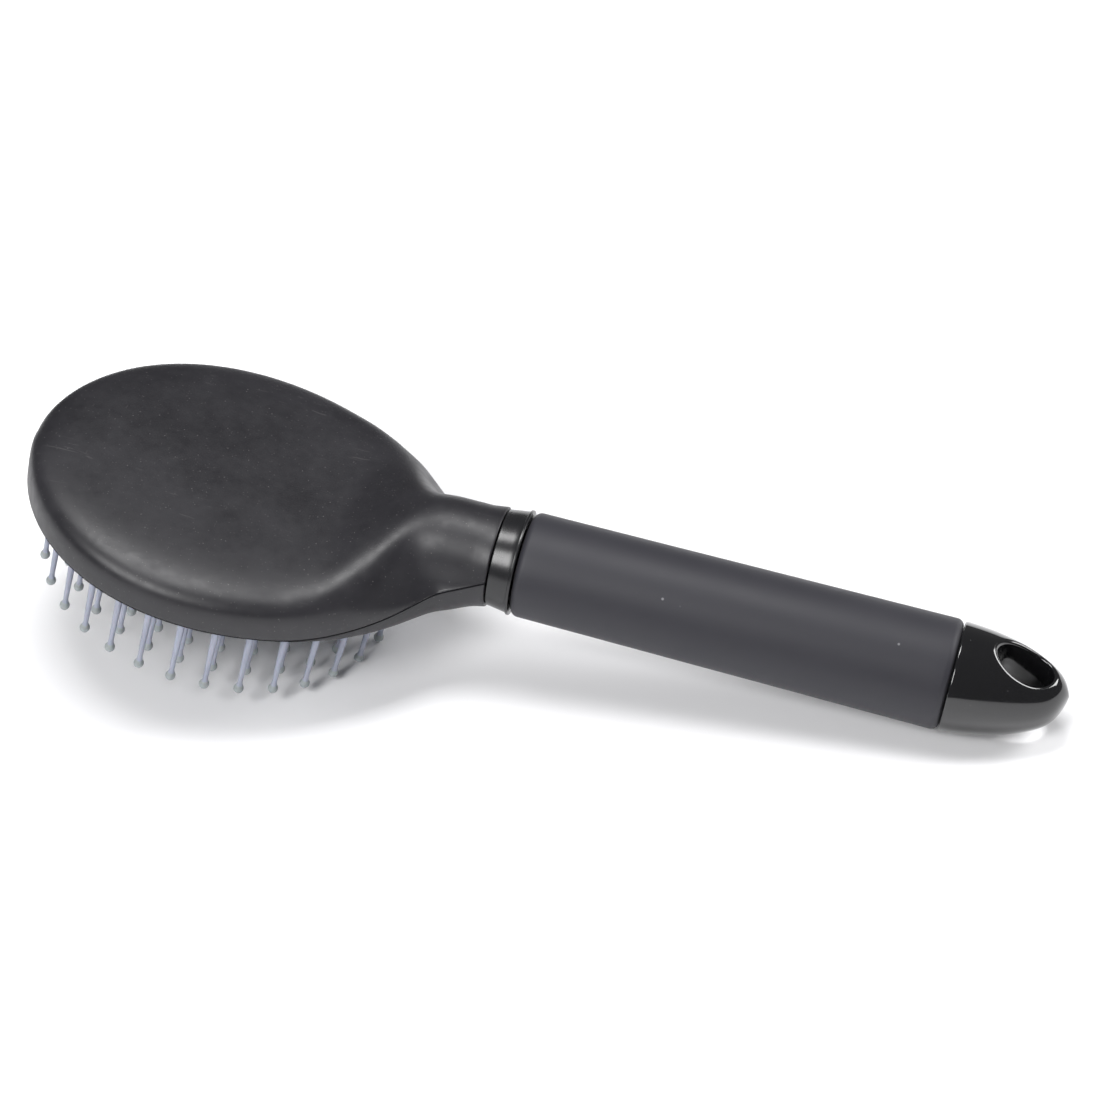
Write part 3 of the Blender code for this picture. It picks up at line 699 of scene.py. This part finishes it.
def cap_height(u, y, side):
    """Height of the cap's upper (side 1) or lower (side -1) surface."""
    half_width, middle, half_height = cap_form(u)
    inside = 1 - (y / half_width) ** 2 - (min(u, CAP_LENGTH) / CAP_LENGTH) ** CAP_TIP_POWER
    return middle + side * half_height * math.sqrt(max(inside, 0.0))


def cap_outline(points):
    """Plan outline of the cap, from the middle of its front face round its tip and back."""
    side = []
    for t in np.linspace(0.0, math.pi / 2, 400):
        u = CAP_LENGTH * math.sin(t)
        half_width = cap_form(u)[0]
        shape = max(1 - (u / CAP_LENGTH) ** CAP_TIP_POWER, 0.0)
        side.append((u, half_width * math.sqrt(shape)))
    side = resample(side, points)
    front_width = side[0][1]
    front = [(0.0, y) for y in np.linspace(0.0, front_width, CAP_FRONT_POINTS)[:-1]]
    half = front + [tuple(p) for p in side[:-1]]
    return half + [(CAP_LENGTH, 0.0)] + [(u, -y) for u, y in reversed(half[1:])]


def round_drop(away, radius):
    """How far a rounded edge lies below the surface, at a distance from the edge."""
    if away >= radius:
        return 0.0
    return radius - math.sqrt(max(radius ** 2 - (radius - away) ** 2, 0.0))


def cap_shares(reach):
    """Places between the hole and the cap's outline, close together on the fillet and at the outline."""
    shares = []
    for share in np.linspace(0.0, 1.0, FILLET_STEPS):
        away = HOLE_FILLET * (1 - math.cos(share * math.pi / 2))
        shares.append(min(away / reach, 0.9))
    first = shares[-1]
    for k in range(1, CAP_STEPS + 1):
        shares.append(first + (1 - first) * math.sin(math.pi / 2 * k / CAP_STEPS))
    return shares


def cap_row(u_out, y_out):
    """Closed row of points: along the lower face, up the hole, along the upper face and down the outline."""
    turn = math.atan2(y_out / HOLE_WIDTH, (u_out - HOLE_CENTRE) / HOLE_LENGTH)
    u_in = HOLE_CENTRE + HOLE_LENGTH / 2 * math.cos(turn)
    y_in = HOLE_WIDTH / 2 * math.sin(turn)
    reach = math.hypot(u_out - u_in, y_out - y_in)
    columns = []
    for side in (1, -1):
        column = []
        for share in cap_shares(reach):
            u = mix(u_in, u_out, share)
            y = mix(y_in, y_out, share)
            sunk = round_drop(share * reach, HOLE_FILLET)
            column.append((CAP_FRONT + u, y, cap_height(u, y, side) - side * sunk))
        columns.append(column)
    top, low = columns
    bore = [(low[0][0], low[0][1], mix(low[0][2], top[0][2], t)) for t in (0.25, 0.5, 0.75)]
    drops = np.linspace(0, 1, CAP_EDGE_STEPS)[1:-1]
    edge = [(top[-1][0], top[-1][1], mix(top[-1][2], low[-1][2], t)) for t in drops]
    return list(reversed(low)) + bore + top + edge


def end_cap(look):
    """Gloss cap, round at the grip and low at its tip, with a filleted hanging hole straight through."""
    skin = Skin()
    loops = [skin.loop(cap_row(u, y)) for u, y in cap_outline(CAP_OUTLINE_POINTS)]
    for i, near in enumerate(loops):
        skin.bridge(near, loops[(i + 1) % len(loops)])
    made = skin.build("end_cap_gloss", HANDLE, [look], "brush", "gloss_plastic", sharp=CAP_SHARP)
    weld(made.data)
    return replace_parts(made, "end_cap")


def weld(mesh):
    """Join points that coincide, such as those at the tip."""
    bm = bmesh.new()
    bm.from_mesh(mesh)
    bmesh.ops.remove_doubles(bm, verts=bm.verts, dist=WELD_REACH)
    bmesh.ops.recalc_face_normals(bm, faces=bm.faces)
    bm.to_mesh(mesh)
    bm.free()
    mesh.shade_smooth()
    mesh.set_sharp_from_angle(angle=math.radians(CAP_SHARP))


# ---------------------------------------------------------------- materials

class Nodes:
    """Short calls for building one material's nodes."""

    def __init__(self, name):
        self.material = bpy.data.materials.new(name)
        self.material.use_nodes = True
        self.tree = self.material.node_tree
        self.shader = self.tree.nodes["Principled BSDF"]
        place = self.tree.nodes.new("ShaderNodeTexCoord")
        self.place = place.outputs["Object"]

    def link(self, value, socket):
        if isinstance(value, bpy.types.NodeSocket):
            self.tree.links.new(value, socket)
        else:
            socket.default_value = value

    def stretched(self, scale):
        node = self.tree.nodes.new("ShaderNodeMapping")
        self.link(self.place, node.inputs["Vector"])
        node.inputs["Scale"].default_value = scale
        return node.outputs["Vector"]

    def noise(self, scale, detail=2.0, rough=0.5, where=None, distortion=0.0):
        node = self.tree.nodes.new("ShaderNodeTexNoise")
        self.link(where or self.place, node.inputs["Vector"])
        node.inputs["Scale"].default_value = scale
        node.inputs["Detail"].default_value = detail
        node.inputs["Roughness"].default_value = rough
        node.inputs["Distortion"].default_value = distortion
        return node.outputs["Fac"]

    def specks(self, scale, size, share):
        """1 inside small round specks, in a share of the cells, and 0 elsewhere."""
        node = self.tree.nodes.new("ShaderNodeTexVoronoi")
        self.link(self.place, node.inputs["Vector"])
        node.inputs["Scale"].default_value = scale
        near = self.ramp(node.outputs["Distance"], size, size * 0.5, 0.0, 1.0)
        split = self.tree.nodes.new("ShaderNodeSeparateColor")
        self.link(node.outputs["Color"], split.inputs["Color"])
        chosen = self.ramp(split.outputs["Red"], share, share * 0.6, 0.0, 1.0)
        return self.math("MULTIPLY", near, chosen)

    def ramp(self, value, low, high, to_low, to_high):
        node = self.tree.nodes.new("ShaderNodeMapRange")
        self.link(value, node.inputs["Value"])
        for name, number in (("From Min", low), ("From Max", high), ("To Min", to_low), ("To Max", to_high)):
            node.inputs[name].default_value = number
        return node.outputs["Result"]

    def math(self, operation, a, b):
        node = self.tree.nodes.new("ShaderNodeMath")
        node.operation = operation
        node.use_clamp = operation == "ADD"
        self.link(a, node.inputs[0])
        self.link(b, node.inputs[1])
        return node.outputs[0]

    def mixed(self, factor, a, b):
        node = self.tree.nodes.new("ShaderNodeMix")
        node.data_type = "RGBA"
        self.link(factor, node.inputs["Factor"])
        for value, socket in ((a, node.inputs[6]), (b, node.inputs[7])):
            self.link(value if isinstance(value, bpy.types.NodeSocket) else (*value, 1.0), socket)
        return node.outputs[2]

    def bump(self, height, distance, strength=1.0, under=None):
        node = self.tree.nodes.new("ShaderNodeBump")
        self.link(height, node.inputs["Height"])
        node.inputs["Distance"].default_value = distance
        node.inputs["Strength"].default_value = strength
        if under is not None:
            self.link(under, node.inputs["Normal"])
        return node.outputs["Normal"]

    def finish(self, colour, roughness, normal=None, **constants):
        self.link(colour, self.shader.inputs["Base Color"])
        self.link(roughness, self.shader.inputs["Roughness"])
        if normal is not None:
            self.link(normal, self.shader.inputs["Normal"])
        for name, value in constants.items():
            self.shader.inputs[name.replace("_", " ")].default_value = value
        return self.material


def head_plastic():
    """Matte black moulded plastic, handled and dusty: cloudy sheen, specks and fine scratches."""
    n = Nodes("matte_head_plastic")
    clouds = n.noise(38, 4.0, 0.6)
    fine = n.noise(420, 3.0, 0.6)
    specks = n.specks(900, 0.16, 0.22)
    grit = n.specks(1500, 0.24, 0.2)
    scratch = n.noise(1.0, 2.0, 0.5, n.stretched((60, 900, 700)), 0.6)
    lines = n.ramp(scratch, 0.66, 0.7, 0.0, 1.0)
    lines = n.math("MULTIPLY", lines, n.ramp(clouds, 0.5, 0.68, 0.0, 1.0))
    dust = n.math("ADD", n.math("MULTIPLY", specks, 0.34), n.math("MULTIPLY", grit, 0.2))
    dust = n.math("ADD", dust, n.math("MULTIPLY", lines, 0.16))
    film = n.ramp(clouds, 0.35, 0.7, 0.0, 1.0)
    body = n.mixed(film, (0.0095, 0.009, 0.0118), (0.018, 0.0172, 0.0212))
    colour = n.mixed(dust, body, (0.2, 0.19, 0.19))
    rough = n.math("ADD", n.ramp(film, 0.0, 1.0, 0.38, 0.48), n.ramp(fine, 0.3, 0.7, -0.03, 0.05))
    normal = n.bump(fine, 0.02 * MM, 0.6)
    normal = n.bump(specks, 0.03 * MM, 0.5, normal)
    return n.finish(colour, rough, normal, Specular_IOR_Level=0.5)


def pad_rubber():
    n = Nodes("pad_rubber")
    clouds = n.noise(120, 3.0, 0.6)
    grain = n.noise(1500, 2.0, 0.6)
    colour = n.mixed(clouds, (0.012, 0.012, 0.013), (0.022, 0.022, 0.024))
    rough = n.ramp(clouds, 0.3, 0.7, 0.55, 0.7)
    return n.finish(colour, rough, n.bump(grain, 0.03 * MM, 0.6), Specular_IOR_Level=0.4)


def grip_rubber():
    """Soft-touch charcoal rubber: velvety, a few pale specks."""
    n = Nodes("soft_touch_rubber")
    clouds = n.noise(45, 3.0, 0.55)
    grain = n.noise(2600, 2.0, 0.6)
    specks = n.specks(260, 0.1, 0.1)
    colour = n.mixed(clouds, (0.019, 0.0185, 0.025), (0.0235, 0.023, 0.0305))
    colour = n.mixed(n.math("MULTIPLY", specks, 0.55), colour, (0.3, 0.3, 0.32))
    rough = n.ramp(clouds, 0.3, 0.7, 0.52, 0.6)
    normal = n.bump(grain, 0.012 * MM, 0.5)
    return n.finish(
        colour, rough, normal, Specular_IOR_Level=0.45, Sheen_Weight=0.06, Sheen_Roughness=0.5,
    )


def collar_plastic():
    """Satin black plastic, a little worn."""
    n = Nodes("satin_black_plastic")
    clouds = n.noise(110, 3.0, 0.6)
    specks = n.specks(600, 0.12, 0.1)
    colour = n.mixed(n.math("MULTIPLY", specks, 0.5), (0.009, 0.009, 0.0105), (0.2, 0.2, 0.21))
    rough = n.ramp(clouds, 0.3, 0.7, 0.22, 0.3)
    normal = n.bump(n.noise(900, 2.0, 0.5), 0.01 * MM, 0.4)
    return n.finish(colour, rough, normal, Specular_IOR_Level=0.55)


def gloss_plastic():
    """Polished black plastic with a few dust specks and faint swirls."""
    n = Nodes("gloss_black_plastic")
    clouds = n.noise(90, 3.0, 0.6)
    specks = n.specks(900, 0.1, 0.07)
    colour = n.mixed(n.math("MULTIPLY", specks, 0.6), (0.006, 0.006, 0.007), (0.25, 0.25, 0.26))
    rough = n.ramp(clouds, 0.3, 0.75, 0.07, 0.14)
    normal = n.bump(n.noise(160, 1.0, 0.4), 0.01 * MM, 0.35)
    return n.finish(colour, rough, normal, Specular_IOR_Level=0.6, Coat_Weight=0.4, Coat_Roughness=0.05)


def core_plastic():
    n = Nodes("core_black_plastic")
    clouds = n.noise(200, 3.0, 0.6)
    colour = n.mixed(clouds, (0.01, 0.01, 0.011), (0.018, 0.018, 0.02))
    rough = n.ramp(clouds, 0.3, 0.7, 0.42, 0.55)
    return n.finish(colour, rough, n.bump(clouds, 0.02 * MM, 0.4))


def pin_shaft_plastic():
    """Lavender-grey nylon."""
    n = Nodes("pin_shaft_nylon")
    clouds = n.noise(160, 3.0, 0.6)
    grain = n.noise(1800, 2.0, 0.5)
    colour = n.mixed(clouds, (0.27, 0.29, 0.37), (0.36, 0.38, 0.46))
    rough = n.ramp(grain, 0.3, 0.7, 0.33, 0.45)
    normal = n.bump(grain, 0.01 * MM, 0.4)
    return n.finish(colour, rough, normal, Subsurface_Weight=0.08, Subsurface_Scale=0.6 * MM)


def pin_ball_plastic():
    """The rounded tips are a duller, greener grey."""
    n = Nodes("pin_ball_nylon")
    clouds = n.noise(300, 3.0, 0.6)
    grain = n.noise(1800, 2.0, 0.5)
    colour = n.mixed(clouds, (0.27, 0.3, 0.31), (0.36, 0.39, 0.39))
    rough = n.ramp(grain, 0.3, 0.7, 0.38, 0.5)
    normal = n.bump(grain, 0.012 * MM, 0.4)
    return n.finish(colour, rough, normal, Subsurface_Weight=0.05, Subsurface_Scale=0.6 * MM)


def floor_paint():
    n = Nodes("pale_floor")
    clouds = n.noise(3.0, 2.0, 0.5)
    colour = n.mixed(clouds, (0.955, 0.955, 0.97), (0.97, 0.97, 0.985))
    return n.finish(colour, n.ramp(clouds, 0.3, 0.7, 0.7, 0.8), Specular_IOR_Level=0.2)


def floor():
    skin = Skin()
    places = [mix(-FLOOR_REACH, FLOOR_REACH, i / FLOOR_CELLS) for i in range(FLOOR_CELLS + 1)]
    lines = [skin.loop([(x, y, 0.0) for x in places]) for y in places]
    for near, far in zip(lines, lines[1:]):
        skin.bridge(near, far, closed=False)
    mesh = bpy.data.meshes.new("studio_floor")
    mesh.from_pydata(skin.points, [], skin.faces)
    mesh.materials.append(floor_paint())
    made = bpy.data.objects.new("studio_floor", mesh)
    bpy.context.scene.collection.objects.link(made)


# ---------------------------------------------------------------- assembly

# Softboxes: name, direction, width, height and power
SOFTBOXES = [
    ("top_softbox", (-0.09, 0.14, 0.98), 0.5, 0.34, 7.0),
    ("front_softbox", (-0.3, -0.66, 0.7), 0.42, 0.5, 8.0),
    ("side_softbox", (0.69, 0.42, 0.52), 0.5, 0.4, 6.4),
]
SOFTBOX_DISTANCE = 1.05
SKY_STRENGTH = 0.15


def studio():
    world = bpy.data.worlds.new("studio")
    world.use_nodes = True
    sky = world.node_tree.nodes["Background"]
    sky.inputs["Color"].default_value = (1.0, 1.0, 1.0, 1.0)
    sky.inputs["Strength"].default_value = SKY_STRENGTH
    bpy.context.scene.world = world
    bpy.context.scene.view_settings.view_transform = "Standard"
    for name, direction, width, height, power in SOFTBOXES:
        place = Vector(direction).normalized() * SOFTBOX_DISTANCE
        softbox(name, place, width, height, power)


place_camera()
studio()
floor()

HEAD_LOOK = head_plastic()
PAD_LOOK = pad_rubber()
back_shell(HEAD_LOOK)
front_frame(HEAD_LOOK)
cushion_pad(PAD_LOOK)
pins([pin_shaft_plastic(), pin_ball_plastic()])
pin_bosses(PAD_LOOK)
collar(collar_plastic())
grip(grip_rubber())
end_cap(gloss_plastic())
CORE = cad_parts["handle_core"]
CORE.data.materials.clear()
CORE.data.materials.append(core_plastic())
